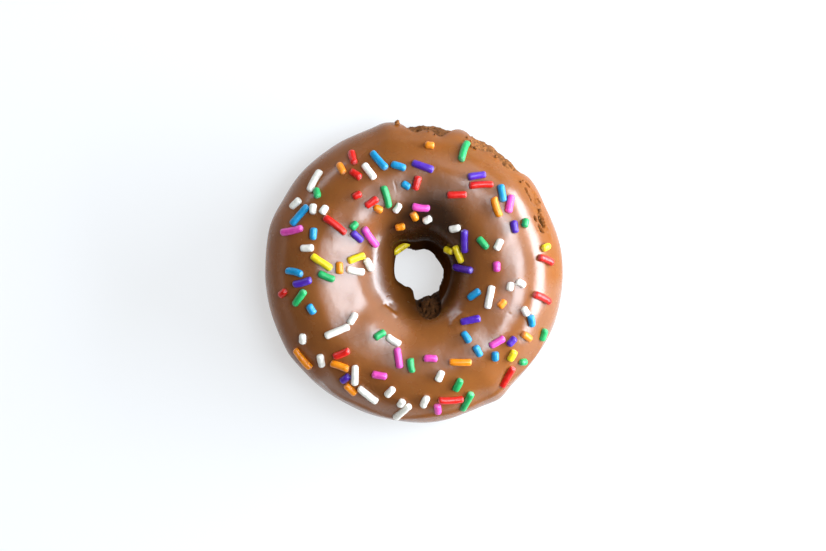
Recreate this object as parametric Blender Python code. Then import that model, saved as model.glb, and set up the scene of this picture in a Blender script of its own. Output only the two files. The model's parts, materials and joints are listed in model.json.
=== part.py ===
"""A chocolate ring doughnut, iced on top and strewn with sugar strands.

The cake is a ring that stands on its flat underside. Its hole is a funnel, wide at the top and narrow low down.
The icing is a skin of its own that lies over the ring, runs over both rims in uneven drips, and holds the strands.
Bearings are degrees clockwise from +Y, seen from above. Tube angles are degrees round the ring's own section:
0 at its widest, 90 on the crest, 180 at the narrowest of the hole and 270 underneath.
"""

import math
import random

import bmesh
import bpy
from mathutils import Matrix, Vector, noise

# The ring of cake, in metres
CORE_RADIUS = 0.0260  # from the axis to the ring's core line
CORE_HEIGHT = 0.0100  # height at which the ring is widest
OUTER_REACH = 0.0134  # from the core line out to the widest skin
HOLE_REACH = 0.0182  # from the core line in to the narrowest of the hole
HOLE_HEIGHT = 0.0060  # height at which the hole is narrowest
HOLE_FLARE = 0.0040  # how much wider its wall leans by the height of the crest
CREST_RISE = 0.0170  # from the core line up to the crest
BASE_CUT = 0.0012  # how far below the floor the section would reach, if the base didn't cut it flat
OUTER_ROUNDNESS = 2.1  # superellipse exponents, 2 for an ellipse and more for squarer
FUNNEL_ROUNDNESS = 3.2
BASE_ROUNDNESS = 2.8
HOLE_SHIFT = Vector((0.0014, -0.0004, 0.0))  # the hole sits a little off the middle
LUMP_DEPTH = 0.0003  # soft unevenness of the baked skin
LUMP_SPACING = 0.0110
CRAG_DEPTH = 0.0013  # broken crust on the skin that the icing leaves bare
CRAG_SPACING = 0.0052
CRAG_LOWEST = 0.0012  # below this the skin is smooth, so that the base stays flat
CRAG_FADE = 14  # degrees of tube over which the crags grow from nothing at the icing's edge
EDGE_WATCH = 2.5  # degrees of bearing within which an edge of the icing counts as beside a place

# Swells of the skin: bearing, half width in degrees, height in metres
OUTLINE_SWELLS = (
    (28, 36, 0.0008),
    (67, 14, -0.0008),
    (104, 16, 0.0003),
    (168, 26, 0.0005),
    (298, 34, 0.0004),
)
HOLE_SWELLS = (
    (32, 30, 0.0008),
    (108, 32, 0.0013),
    (163, 16, 0.0012),
    (214, 26, 0.0013),
    (322, 26, -0.0008),
    (352, 16, 0.0013),
)
CREST_SWELLS = ((60, 50, 0.0004), (205, 40, -0.0004), (300, 45, 0.0003))
# On the left the funnel is shallower than elsewhere: its narrowest is higher, and its wall leans less
HEIGHT_SWELLS = ((266, 50, 0.0060),)
FLARE_SWELLS = ((266, 50, -0.0032),)
ROUNDNESS_SWELLS = ((266, 50, -0.65),)

# The icing, in metres
ICING_GAP = 0.0006  # between the cake's skin and the icing's underside
ICING_DEPTH = 0.0016  # over the crest
FLANK_DEPTH = 0.0010  # at the rims
LIP_SHARPNESS = 7  # how late the icing thins towards its edge
# Drips: bearing, half width in degrees, extra depth in metres
DRIPS = ((146, 5, 0.0010), (172, 16, 0.0004), (236, 6, 0.0004), (290, 7, 0.0005), (349, 5, 0.0008))
THROAT_DRIPS = ((222, 22, 0.0009),)

# Tube angle where the icing ends, and how far it is pulled up (+) or has run on (-) at a bearing
RIM_ANGLE = -4
RIM_RUNS = (
    (0, 6.5, 42),
    (11, 5.5, 44),
    (27, 6.5, 43),
    (41, 9, 46),
    (63, 7, 14),
    (96, 8, 7),
    (147, 8, -13),
    (178, 13, -10),
    (236, 7, -8),
    (262, 8, 5),
    (290, 7, -10),
    (318, 9, 6),
    (336, 6, 8),
    (349, 6, -9),
)
THROAT_ANGLE = 178
THROAT_RUNS = (
    (153, 15, -36),
    (172, 15, -36),
    (210, 12, 12),
    (240, 14, 6),
    (330, 18, -10),
    (60, 20, 5),
    (110, 12, -6),
)
RUN_FADE = 3  # how soon the edges' runs die out towards the middle of the icing

# Sugar strands, in metres
TUBE_RADIUS = 0.0160  # about that of the iced ring's section, to turn distances on it into angles
STRAND_WIDTH = 0.0020
STRAND_SINK = 0.0005  # how deep a strand has settled into the icing
LONG_STRAND = (0.0046, 0.0076)  # shortest and longest
SHORT_STRAND = (0.0025, 0.0042)
LONG_SHARE = 0.46
STRAND_SPACING = 0.0032  # between neighbours of one handful
STRAND_JITTER = 0.0007
STRAND_CLEARANCE = 0.00015
STRAND_LIMITS = (36.0, 168.0)  # tube angles past which the icing is too steep to hold one
MOST_TRIES = 90
STRAND_PATIENCE = 45  # tries before a strand looks for its place one spacing farther out
SHRINK = 0.985  # of a strand's length at each try
GOLDEN_ANGLE = 137.5
STRAND_SEED = 11

# Handfuls of strands: bearing, tube angle and the colours that fell there, nearest the middle first
HANDFULS = (
    (0, 92, "red purple pink blue"),
    (7, 61, "orange"),
    (22, 58, "green"),
    (28, 95, "red"),
    (32, 74, "purple red"),
    (51, 82, "orange blue"),
    (56, 117, "purple yellow white green yellow"),
    (65, 80, "purple green white pink"),
    (85, 57, "red yellow"),
    (87, 133, "purple"),
    (98, 92, "white white white pink"),
    (109, 73, "white blue orange red"),
    (111, 113, "blue"),
    (116, 38, "green"),
    (130, 60, "yellow purple green blue orange red"),
    (133, 105, "purple"),
    (142, 88, "blue blue pink orange"),
    (164, 52, "red green pink green"),
    (167, 84, "white pink"),
    (186, 56, "white white white white"),
    (192, 91, "pink white green pink"),
    (209, 53, "orange purple white"),
    (211, 103, "green"),
    (219, 70, "orange red white white"),
    (232, 40, "orange"),
    (235, 97, "white white"),
    (240, 56, "white"),
    (258, 70, "green purple blue red"),
    (272, 113, "white orange white"),
    (277, 91, "yellow green white yellow blue"),
    (296, 57, "blue white pink"),
    (299, 91, "red white purple blue"),
    (307, 115, "pink green"),
    (308, 60, "green white white"),
    (324, 163, "yellow"),
    (325, 60, "orange"),
    (327, 97, "red red green"),
    (335, 77, "white red blue orange red"),
    (340, 127, "orange"),
    (359, 109, "orange blue white white"),
)

# How finely each surface is cut
CAKE_STEPS = (76, 22)  # round the ring, round the tube
ICING_STEPS = (90, 26)
STRAND_STEPS = (6, 3)  # round the strand, from end to end
STRAND_FATTENING = 1.22  # gives a strand with so few sides its true thickness

CAKE_COLOUR = (0.20, 0.085, 0.030)
ICING_COLOUR = (0.30, 0.125, 0.045)


def clear_scene():
    for obj in list(bpy.data.objects):
        bpy.data.objects.remove(obj)


def plain_material(name, colour, roughness):
    material = bpy.data.materials.new(name)
    material.use_nodes = True
    shader = material.node_tree.nodes["Principled BSDF"]
    shader.inputs["Base Color"].default_value = (*colour, 1.0)
    shader.inputs["Roughness"].default_value = roughness
    shader.inputs["Metallic"].default_value = 0.0
    return material


def swell(bearing, bumps):
    """The sum of the soft bumps, each a bearing, a half width and a height, at this bearing."""
    total = 0.0
    for centre, half_width, height in bumps:
        away = (bearing - centre + 180.0) % 360.0 - 180.0
        total += height * math.exp(-((away / half_width) ** 2))
    return total


def signed_power(value, exponent):
    return math.copysign(abs(value) ** exponent, value)


def skin_point(bearing, tube):
    """The cake's smooth skin, with its swells and lumps."""
    across, up = math.cos(math.radians(tube)), math.sin(math.radians(tube))
    crest = CORE_HEIGHT + CREST_RISE + swell(bearing, CREST_SWELLS)
    if across > 0:
        level, roundness = CORE_HEIGHT, OUTER_ROUNDNESS
    else:
        level = HOLE_HEIGHT + swell(bearing, HEIGHT_SWELLS)
        roundness = FUNNEL_ROUNDNESS + swell(bearing, ROUNDNESS_SWELLS)
    exponent = 2.0 / (roundness if up > 0 else BASE_ROUNDNESS)
    rise = crest - level if up > 0 else level + BASE_CUT
    height = level + rise * signed_power(up, exponent)
    if across > 0:
        reach = OUTER_REACH + swell(bearing, OUTLINE_SWELLS)
    else:
        reach = HOLE_REACH + swell(bearing, HOLE_SWELLS)
        flare = HOLE_FLARE + swell(bearing, FLARE_SWELLS)
        reach -= flare * max(0.0, height - level) / (crest - level)
    radius = CORE_RADIUS + reach * signed_power(across, exponent)
    turn = math.radians(bearing)
    outward = Vector((math.sin(turn), math.cos(turn), 0.0))
    lump = LUMP_DEPTH * noise.noise((outward * radius + Vector((0, 0, height))) / LUMP_SPACING)
    point = outward * (radius + lump * across) + HOLE_SHIFT * (1.0 - across) / 2.0
    point.z = max(0.0, height + lump * up)
    return point


def skin_frame(bearing, tube):
    """Unit vectors along the ring, up the tube from its outside, and straight out of the skin."""
    step = 0.5
    along = (skin_point(bearing + step, tube) - skin_point(bearing - step, tube)).normalized()
    up_tube = (skin_point(bearing, tube + step) - skin_point(bearing, tube - step)).normalized()
    return along, up_tube, up_tube.cross(along).normalized()


def rim_angle(bearing):
    return RIM_ANGLE + swell(bearing, RIM_RUNS)


def throat_angle(bearing):
    return THROAT_ANGLE + swell(bearing, THROAT_RUNS)


def across_icing(bearing, share):
    """The tube angle at a share of the way from the icing's rim to its throat. The runs die out inwards."""
    tube = RIM_ANGLE + (THROAT_ANGLE - RIM_ANGLE) * share
    tube += (rim_angle(bearing) - RIM_ANGLE) * (1.0 - share) ** RUN_FADE
    return tube + (throat_angle(bearing) - THROAT_ANGLE) * share**RUN_FADE


def icing_depth(bearing, tube):
    """Depth of the icing where it is whole: thickest on the crest, with its drips at the two rims."""
    flank = math.cos(math.radians(tube))
    drips = swell(bearing, DRIPS) if flank > 0 else swell(bearing, THROAT_DRIPS)
    return ICING_DEPTH + (FLANK_DEPTH - ICING_DEPTH + drips) * flank**2


def icing_point(bearing, tube):
    """The icing's upper face, away from its edges."""
    lift = ICING_GAP + icing_depth(bearing, tube)
    return skin_point(bearing, tube) + skin_frame(bearing, tube)[2] * lift


def bare_degrees(bearing, tube):
    """How far into the bare skin a place is, in degrees of tube from the icing's edge at or beside it."""
    below = tube if tube > 90.0 else tube + 360.0
    beside = (bearing - EDGE_WATCH, bearing, bearing + EDGE_WATCH)
    rim = min(rim_angle(b) for b in beside) + 360.0
    return min(rim - below, below - max(throat_angle(b) for b in beside))


def crag(point, bearing, tube):
    """Height of the broken crust at a point of skin: nothing under the icing and on the base."""
    bare = bare_degrees(bearing, tube)
    if bare <= 0.0 or point.z < CRAG_LOWEST:
        return 0.0
    return CRAG_DEPTH * min(1.0, bare / CRAG_FADE) * noise.noise(point / CRAG_SPACING)


def new_torus(name, steps, material):
    """A ring whose vertices still have plain torus angles, ready to be shaped."""
    bpy.ops.mesh.primitive_torus_add(
        major_radius=CORE_RADIUS,
        minor_radius=OUTER_REACH,
        major_segments=steps[0],
        minor_segments=steps[1],
    )
    ring = bpy.context.active_object
    ring.name = name
    ring.data.name = name
    ring.data.materials.append(material)
    return ring


def torus_angles(point):
    """The bearing and the tube angle of a vertex of the plain torus."""
    bearing = math.degrees(math.atan2(point.x, point.y))
    tube = math.degrees(math.atan2(point.z, math.hypot(point.x, point.y) - CORE_RADIUS))
    return bearing, tube % 360.0


def finish_ring(ring):
    ring.data.shade_smooth()
    ring.data.update()
    return ring


def build_cake():
    material = plain_material("chocolate_cake", CAKE_COLOUR, 0.9)
    cake = new_torus("cake_ring", CAKE_STEPS, material)
    for vertex in cake.data.vertices:
        bearing, tube = torus_angles(vertex.co)
        point = skin_point(bearing, tube)
        vertex.co = point + skin_frame(bearing, tube)[2] * crag(point, bearing, tube)
    return finish_ring(cake)


def build_icing():
    """A crescent round the ring: its upper half circle becomes the icing's face, its lower one the underside."""
    material = plain_material("milk_chocolate_icing", ICING_COLOUR, 0.25)
    icing = new_torus("icing", ICING_STEPS, material)
    for vertex in icing.data.vertices:
        bearing, turn = torus_angles(vertex.co)
        face = turn <= 180.0
        share = turn / 180.0 if face else (360.0 - turn) / 180.0
        eased = (1.0 - math.cos(math.pi * share)) / 2.0
        share = (share + eased) / 2.0
        tube = across_icing(bearing, share)
        lift = ICING_GAP
        if face:
            lip = 1.0 - abs(2.0 * share - 1.0) ** LIP_SHARPNESS
            lift += icing_depth(bearing, tube) * math.sqrt(max(0.0, lip))
        vertex.co = skin_point(bearing, tube) + skin_frame(bearing, tube)[2] * lift
    return finish_ring(icing)


def beads(centre, direction, length):
    """Points along a strand, close enough together to stand for it when strands are kept apart."""
    straight = length - STRAND_WIDTH
    count = 2 + int(straight / (STRAND_WIDTH / 2.0))
    return [centre + direction * straight * (i / (count - 1) - 0.5) for i in range(count)]


def is_clear(candidate, placed):
    least = STRAND_WIDTH + STRAND_CLEARANCE
    return all((a - b).length > least for other in placed for a in candidate for b in other)


def scattered_strands():
    """Each strand's colour, centre, direction, outward normal and length, in the order in which they fell.

    A handful's strands lie on a sunflower spiral about its middle. Each is turned until it is clear of the
    others, and gets shorter as the tries run out.
    """
    draw = random.Random(STRAND_SEED)
    strands, placed = [], []
    for middle_bearing, middle_tube, colours in HANDFULS:
        twist = draw.uniform(0.0, 360.0)
        for place, colour in enumerate(colours.split()):
            wide = LONG_STRAND if draw.random() < LONG_SHARE else SHORT_STRAND
            length = draw.uniform(*wide)
            for attempt in range(MOST_TRIES):
                away = STRAND_SPACING * (math.sqrt(place) + attempt / STRAND_PATIENCE)
                away += draw.uniform(-1, 1) * STRAND_JITTER
                heading = math.radians(twist + GOLDEN_ANGLE * place + draw.uniform(-1, 1) * attempt)
                tube = middle_tube + math.degrees(away * math.sin(heading) / TUBE_RADIUS)
                if not STRAND_LIMITS[0] < tube < STRAND_LIMITS[1]:
                    tube = 2.0 * middle_tube - tube
                radius = CORE_RADIUS + TUBE_RADIUS * math.cos(math.radians(tube))
                bearing = middle_bearing + math.degrees(away * math.cos(heading) / radius)
                along, up_tube, normal = skin_frame(bearing, tube)
                turn = draw.uniform(0.0, math.pi)
                direction = along * math.cos(turn) + up_tube * math.sin(turn)
                centre = icing_point(bearing, tube) + normal * (STRAND_WIDTH / 2.0 - STRAND_SINK)
                length = max(SHORT_STRAND[0], length * SHRINK)
                candidate = beads(centre, direction, length)
                if is_clear(candidate, placed):
                    strands.append((colour, centre, direction, normal, length))
                    placed.append(candidate)
                    break
    return strands


def new_strand(collection, centre, direction, normal, length):
    """A round-ended rod: a coarse ball whose two halves are drawn apart, made as thick as a round one."""
    mesh = bpy.data.meshes.new("strand")
    shape = bmesh.new()
    bmesh.ops.create_uvsphere(
        shape, u_segments=STRAND_STEPS[0], v_segments=STRAND_STEPS[1], radius=STRAND_WIDTH / 2.0
    )
    for vertex in shape.verts:
        vertex.co.x *= STRAND_FATTENING
        vertex.co.y *= STRAND_FATTENING
        vertex.co.z += math.copysign((length - STRAND_WIDTH) / 2.0, vertex.co.z)
    shape.to_mesh(mesh)
    shape.free()
    strand = bpy.data.objects.new("strand", mesh)
    side = normal.cross(direction)
    turned = Matrix((side, normal, direction)).transposed().to_4x4()
    strand.matrix_world = Matrix.Translation(centre) @ turned
    collection.objects.link(strand)


def fuse_strands(icing):
    """Joins every strand to the icing in one union, then removes the loose strands."""
    loose = bpy.data.collections.new("strands")
    bpy.context.scene.collection.children.link(loose)
    for _, centre, direction, normal, length in scattered_strands():
        new_strand(loose, centre, direction, normal, length)
    union = icing.modifiers.new("strands", "BOOLEAN")
    union.operation = "UNION"
    union.operand_type = "COLLECTION"
    union.collection = loose
    union.solver = "MANIFOLD"
    bpy.context.view_layer.objects.active = icing
    bpy.ops.object.modifier_apply(modifier=union.name)
    for strand in list(loose.objects):
        bpy.data.objects.remove(strand)
    bpy.data.collections.remove(loose)


def main():
    clear_scene()
    doughnut = bpy.data.collections.new("chocolate_doughnut")
    bpy.context.scene.collection.children.link(doughnut)
    cake = build_cake()
    icing = build_icing()
    fuse_strands(icing)
    for piece in (cake, icing):
        for collection in piece.users_collection:
            collection.objects.unlink(piece)
        doughnut.objects.link(piece)


main()
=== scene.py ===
"""Dresses a chocolate ring doughnut: open crumb, glossy milk-chocolate icing, sugar strands and crumbs.

Bearings are degrees clockwise from +Y, seen from above. Tube angles are degrees round the ring's own
section: 0 at its widest, 90 on the crest, 180 at the narrowest of the hole and 270 underneath. Sizes are in
metres.
"""

import functools
import json
import math
import random

import bmesh
import bpy
from mathutils import Matrix, Vector, noise

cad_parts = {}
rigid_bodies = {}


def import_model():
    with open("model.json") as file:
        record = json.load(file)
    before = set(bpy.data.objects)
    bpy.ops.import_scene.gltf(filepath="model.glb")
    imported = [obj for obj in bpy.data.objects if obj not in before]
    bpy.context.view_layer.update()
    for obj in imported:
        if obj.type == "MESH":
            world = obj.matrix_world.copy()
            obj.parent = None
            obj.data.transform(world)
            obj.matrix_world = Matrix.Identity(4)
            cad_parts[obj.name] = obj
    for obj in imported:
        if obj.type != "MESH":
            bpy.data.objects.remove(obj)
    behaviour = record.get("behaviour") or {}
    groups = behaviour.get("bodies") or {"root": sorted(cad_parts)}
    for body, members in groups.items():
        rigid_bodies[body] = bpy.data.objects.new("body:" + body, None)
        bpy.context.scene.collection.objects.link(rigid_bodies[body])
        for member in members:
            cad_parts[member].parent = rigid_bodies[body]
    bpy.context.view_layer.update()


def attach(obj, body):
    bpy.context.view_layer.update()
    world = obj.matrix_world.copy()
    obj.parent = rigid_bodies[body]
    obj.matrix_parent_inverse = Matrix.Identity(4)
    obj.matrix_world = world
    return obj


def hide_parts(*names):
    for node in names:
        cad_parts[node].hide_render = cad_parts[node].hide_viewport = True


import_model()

bl_info = {
    "name": "Chocolate Doughnut",
    "version": (1, 0, 0),
    "blender": (4, 5, 0),
    "location": "View3D > Sidebar > Doughnut",
    "description": "Builds an iced chocolate ring doughnut with sugar strands in a soft white studio",
    "category": "Add Mesh",
}

# The ring of cake, as its solid has it
CORE_RADIUS = 0.0260  # from the axis to the ring's core line
CORE_HEIGHT = 0.0100  # height at which the ring is widest
OUTER_REACH = 0.0134  # from the core line out to the widest skin
HOLE_REACH = 0.0182  # from the core line in to the narrowest of the hole
HOLE_HEIGHT = 0.0060  # height at which the hole is narrowest
HOLE_FLARE = 0.0040  # how much wider its wall leans by the height of the crest
CREST_RISE = 0.0170  # from the core line up to the crest
BASE_CUT = 0.0012  # how far below the floor the section would reach, if the base didn't cut it flat
OUTER_ROUNDNESS = 2.1  # superellipse exponents, 2 for an ellipse and more for squarer
FUNNEL_ROUNDNESS = 3.2
BASE_ROUNDNESS = 2.8
HOLE_SHIFT = Vector((0.0014, -0.0004, 0.0))  # the hole sits a little off the middle
LUMP_DEPTH = 0.0003  # soft unevenness of the baked skin
LUMP_SPACING = 0.0110
CRAG_DEPTH = 0.0013  # broken crust on the skin that the icing leaves bare
CRAG_SPACING = 0.0052
CRAG_LOWEST = 0.0012  # below this the skin is smooth, so that the base stays flat
CRAG_FADE = 14  # degrees of tube over which the crags grow from nothing at the icing's edge
EDGE_WATCH = 2.5  # degrees of bearing within which an edge of the icing counts as beside a place

# Swells of the skin: bearing, half width in degrees, height
OUTLINE_SWELLS = (
    (28, 36, 0.0008),
    (67, 14, -0.0008),
    (104, 16, 0.0003),
    (168, 26, 0.0005),
    (298, 34, 0.0004),
)
HOLE_SWELLS = (
    (32, 30, 0.0008),
    (108, 32, 0.0013),
    (163, 16, 0.0012),
    (214, 26, 0.0013),
    (322, 26, -0.0008),
    (352, 16, 0.0013),
)
CREST_SWELLS = ((60, 50, 0.0004), (205, 40, -0.0004), (300, 45, 0.0003))
# On the left the funnel is shallower than elsewhere: its narrowest is higher, and its wall leans less
HEIGHT_SWELLS = ((266, 50, 0.0060),)
FLARE_SWELLS = ((266, 50, -0.0032),)
ROUNDNESS_SWELLS = ((266, 50, -0.65),)

# The icing, as its solid has it
ICING_GAP = 0.0006  # between the cake's skin and the icing's underside
ICING_DEPTH = 0.0016  # over the crest
FLANK_DEPTH = 0.0010  # at the rims
LIP_SHARPNESS = 7  # how late the icing thins towards its edge
# Drips: bearing, half width in degrees, extra depth
DRIPS = ((146, 5, 0.0010), (172, 16, 0.0004), (236, 6, 0.0004), (290, 7, 0.0005), (349, 5, 0.0008))
THROAT_DRIPS = ((222, 22, 0.0009),)

# Tube angle where the icing ends, and how far it is pulled up (+) or has run on (-) at a bearing
RIM_ANGLE = -4
RIM_RUNS = (
    (0, 6.5, 42),
    (11, 5.5, 44),
    (27, 6.5, 43),
    (41, 9, 46),
    (63, 7, 14),
    (96, 8, 7),
    (147, 8, -13),
    (178, 13, -10),
    (236, 7, -8),
    (262, 8, 5),
    (290, 7, -10),
    (318, 9, 6),
    (336, 6, 8),
    (349, 6, -9),
)
THROAT_ANGLE = 178
THROAT_RUNS = (
    (153, 15, -36),
    (172, 15, -36),
    (210, 12, 12),
    (240, 14, 6),
    (330, 18, -10),
    (60, 20, 5),
    (110, 12, -6),
)
RUN_FADE = 3  # how soon the edges' runs die out towards the middle of the icing

# Sugar strands, as their solids have them
TUBE_RADIUS = 0.0160  # about that of the iced ring's section, to turn distances on it into angles
STRAND_WIDTH = 0.0020
STRAND_SINK = 0.0005  # how deep a strand has settled into the icing
LONG_STRAND = (0.0046, 0.0076)  # shortest and longest
SHORT_STRAND = (0.0025, 0.0042)
LONG_SHARE = 0.46
STRAND_SPACING = 0.0032  # between neighbours of one handful
STRAND_JITTER = 0.0007
STRAND_CLEARANCE = 0.00015
STRAND_LIMITS = (36.0, 168.0)  # tube angles past which the icing is too steep to hold one
MOST_TRIES = 90
STRAND_PATIENCE = 45  # tries before a strand looks for its place one spacing farther out
SHRINK = 0.985  # of a strand's length at each try
GOLDEN_ANGLE = 137.5
STRAND_SEED = 11

# Handfuls of strands: bearing, tube angle and the colours that fell there, nearest the middle first
HANDFULS = (
    (0, 92, "red purple pink blue"),
    (7, 61, "orange"),
    (22, 58, "green"),
    (28, 95, "red"),
    (32, 74, "purple red"),
    (51, 82, "orange blue"),
    (56, 117, "purple yellow white green yellow"),
    (65, 80, "purple green white pink"),
    (85, 57, "red yellow"),
    (87, 133, "purple"),
    (98, 92, "white white white pink"),
    (109, 73, "white blue orange red"),
    (111, 113, "blue"),
    (116, 38, "green"),
    (130, 60, "yellow purple green blue orange red"),
    (133, 105, "purple"),
    (142, 88, "blue blue pink orange"),
    (164, 52, "red green pink green"),
    (167, 84, "white pink"),
    (186, 56, "white white white white"),
    (192, 91, "pink white green pink"),
    (209, 53, "orange purple white"),
    (211, 103, "green"),
    (219, 70, "orange red white white"),
    (232, 40, "orange"),
    (235, 97, "white white"),
    (240, 56, "white"),
    (258, 70, "green purple blue red"),
    (272, 113, "white orange white"),
    (277, 91, "yellow green white yellow blue"),
    (296, 57, "blue white pink"),
    (299, 91, "red white purple blue"),
    (307, 115, "pink green"),
    (308, 60, "green white white"),
    (324, 163, "yellow"),
    (325, 60, "orange"),
    (327, 97, "red red green"),
    (335, 77, "white red blue orange red"),
    (340, 127, "orange"),
    (359, 109, "orange blue white white"),
)

# How each strand is modelled: one straight model strand is copied, drawn to its length and bent
MODEL_LENGTH = 0.0040
END_ROUND = 0.00062  # length of a strand's rounded end
END_DOME = (0.00018, 0.00005)  # how far in from its rim the end's middle starts, and how high it rises
STRAND_SIDES = 14
STRAND_CUTS = 6  # rings along the straight part
STRAND_SAG = 0.022  # largest sag, sideways bend and taper, as shares of its length or width
STRAND_SWAY = (0.01, 0.05)
STRAND_TAPER = 0.07
STRAND_LUMPS = 0.00012
STRAND_LUMP_SPACING = 0.0011

# The cake's detail that only this model has. Steps are those round the ring and round the tube, before the
# ring is cut twice as fine round it
CAKE_STEPS = (256, 176)
CRUMB_SPACING = 0.0013
CRUMB_DEPTH = 0.00040
PORE_SPACING = 0.0013
PORE_DEPTH = 0.0010
PORE_SIZES = (0.12, 0.42)  # the smallest, and how much larger the largest is, as shares of the spacing
HOLE_SHADE_STRENGTH = 0.60  # how near the crumb in the hole comes to the dark of its pores: painted shade down the hole
HOLE_SHADE_TUBES = (95.0, 130.0, 185.0, 230.0)  # tube angles between which it comes and goes
BAKED_HEIGHTS = (0.0004, 0.0035)  # heights between which the base's own colour fades out

# The icing's detail that only this model has
ICING_STEPS = (256, 150)
FACE_TURN = 300.0  # of the icing's 360 degrees of section, those that its upper face takes
FACE_EASE = 0.65  # how much closer together the face's rings lie towards its edges
THINNEST = 0.00025  # what is left of the icing's depth where it is torn
RIPPLE_SPACING = 0.0085
RIPPLE_DEPTH = 0.00012
BEAD_HEIGHT = 0.00022  # of the roll that the icing has drawn up along its edges
BEAD_PLACE = 0.035  # share of the way from one edge to the other
BEAD_WIDTH = 0.022
# Folds: first and last bearing, tube angle, half width and wander in degrees of tube, height of the step,
# and how much of that height its edge is rolled up
FOLDS = (
    (112, 222, 30, 3.5, 2.0, 0.00092, 0.5),
    (205, 231, 128.0, 1.6, 0.0, -0.00045, 0.6),
)
FOLD_TAPER = 9.0  # degrees of bearing over which a fold runs out
# On the left the icing turns down into the hole over a crisp edge: the bearings between which it comes and
# goes, the tube angles where its rise starts, where its edge is, where it is fullest and where it has died
# out, and the heights of the edge and of the bulge below it
SHOULDER_BEARINGS = (220.0, 240.0, 296.0, 316.0)
SHOULDER_TUBES = (116.0, 130.0, 155.0, 176.0)
SHOULDER_RISE = 0.00022
SHOULDER_BULGE = 0.00045
DISH_TUBES = (84.0, 120.0)  # between them the crown beside it is dished
DISH_DEPTH = 0.00032
# Where the icing is torn open to the crumb: bearing, tube angle, half length round the ring, half width
TEARS = (
    (55.4, 43, 0.0023, 0.0009),
    (67.6, 41, 0.0026, 0.0014),
    (71.0, 48, 0.0015, 0.0009),
    (66.0, 51, 0.0011, 0.0008),
    (60.0, 30, 0.0011, 0.0007),
    (52.0, 35, 0.0012, 0.0006),
)
# Dents about the tears: bearing, tube angle, half length round the ring, half width, depth
DENTS = (
    (57.5, 38, 0.0026, 0.0024, 0.00045),
    (69.5, 46, 0.0024, 0.0024, 0.00035),
    (61.0, 33, 0.0018, 0.0014, -0.00030),
    (74.0, 36, 0.0020, 0.0012, -0.00025),
    (139.0, 112, 0.0030, 0.0022, -0.00022),
)
# How ragged their outlines are, and over which part of their width they come to their full depth
TEAR_RAGGEDNESS = 0.22
TEAR_GRAIN = 0.0009
TEAR_EDGE = (0.70, 1.0)
DENT_RAGGEDNESS = 0.30
DENT_GRAIN = 0.0020
DENT_EDGE = (0.55, 1.25)
TEAR_DEPTH = 0.0011
TEAR_FLOOR_GRAIN = 0.0008  # spacing and height of the rough floor of a tear
TEAR_FLOOR_HEIGHT = 0.00022
# Stretches of the icing that are cut finer: first and last bearing, first and last tube angle
FINE_STRETCHES = ((-12.0, 54.0, 26.0, 45.0), (50.0, 75.0, 26.0, 55.0))
FINE_CUTS = 2
PINHOLE_COUNT = 30
PINHOLE_SEED = 5
PINHOLE_RADIUS = 0.00024
PINHOLE_TUBES = (25.0, 150.0)  # tube angles between which they lie

# What the icing's material reads
PULLED_UP = (0.0, 20.0)  # rim angles between which the edge comes to count as pulled up from the cake
THINNESS = 0.7  # how thin the icing looks at its edges
THIN_EDGE = 0.05  # share of the way across it over which it does
EDGE_HIGHLIGHT_STRENGTH = 0.6  # how strong the painted highlight along a pulled-up edge is
EDGE_HIGHLIGHT_FADE = (0.004, 0.012)  # shares of the way across over which it fades
FUNNEL_SHADE_START = 113.0  # tube angle where painted shade starts to darken the icing down the hole
FUNNEL_SHADE_SPAN = 30.0  # degrees of tube over which it does
FUNNEL_SHADE_SIDE = ((15, 44, -35.0),)  # it starts sooner at the back of the ring
FUNNEL_SHADE_LEAST = 0.65  # how dark the painted shade gets away from there
DULL = (146.0, 156.0)  # tube angles between which it goes from glossy to dull
FLANK_DULLNESS = 0.65  # how dull the icing gets low on its flanks
FLANK_DULL = (72.0, 40.0)  # tube angles between which it does
FLANK_GLOSSY = (91.0, 100.0, 215.0, 224.0)  # bearings between which it stays glossy

# Loose crumbs: bearing, tube angle and radius of the one on the rim, and where the others lie about
RIM_CRUMB = (353.6, 24.0, 0.0007)
CRUMB_SPOTS = ((5, 42), (24, 42), (36, 42), (48, 40), (68, 40))
CRUMB_COUNT = 14
CRUMB_SEED = 21
CRUMB_SIZES = (0.00020, 0.00030)  # radius of the smallest, and how much larger the largest is
EDGE_CLEARANCE = 6.0  # degrees of tube that a crumb on the icing keeps from its edge

# The studio. Soft lights: bearing, elevation, distance, width and height
LIGHTS = {
    "window": (86, 16, 1.0, 1.30, 0.46),
    "skylight": (88, 72, 1.0, 0.46, 0.40),
    "ceiling": (50, 45, 1.5, 1.60, 1.00),
    "far_wall": (318, 10, 1.2, 0.45, 0.25),
}
FAR_WALL_SHARE = 0.06  # of the window's power that comes back from the far wall
DAYLIGHT = (0.80, 0.90, 1.0)
FLOOR_SIZE = 6.0
FLOOR_GREY = (0.32, 0.32, 0.32, 1.0)  # it also glows, which makes it white
SENSOR_WIDTH = 36.0  # in millimetres
CAMERA_SHIFT = (-0.0003, -0.0010)  # where the middle of the picture is on the floor


def colour_setting(name, description, default):
    return bpy.props.FloatVectorProperty(
        name=name, description=description, subtype="COLOR", size=3, min=0.0, max=1.0, default=default
    )


def number_setting(name, description, default, least=0.0, **kind):
    return bpy.props.FloatProperty(name=name, description=description, default=default, min=least, **kind)


def share_setting(name, description, default):
    return number_setting(name, description, default, subtype="FACTOR", max=1.0)


class DoughnutCake(bpy.types.PropertyGroup):
    crumb: colour_setting("Crumb", "Colour of the chocolate crumb where it is dry", (0.285, 0.104, 0.028))
    crumb_depth: number_setting("Crumb depth", "How deep the fine crumb is", CRUMB_DEPTH, unit="LENGTH")
    pore_depth: number_setting("Pore depth", "How deep the open pores are", PORE_DEPTH, unit="LENGTH")


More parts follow.
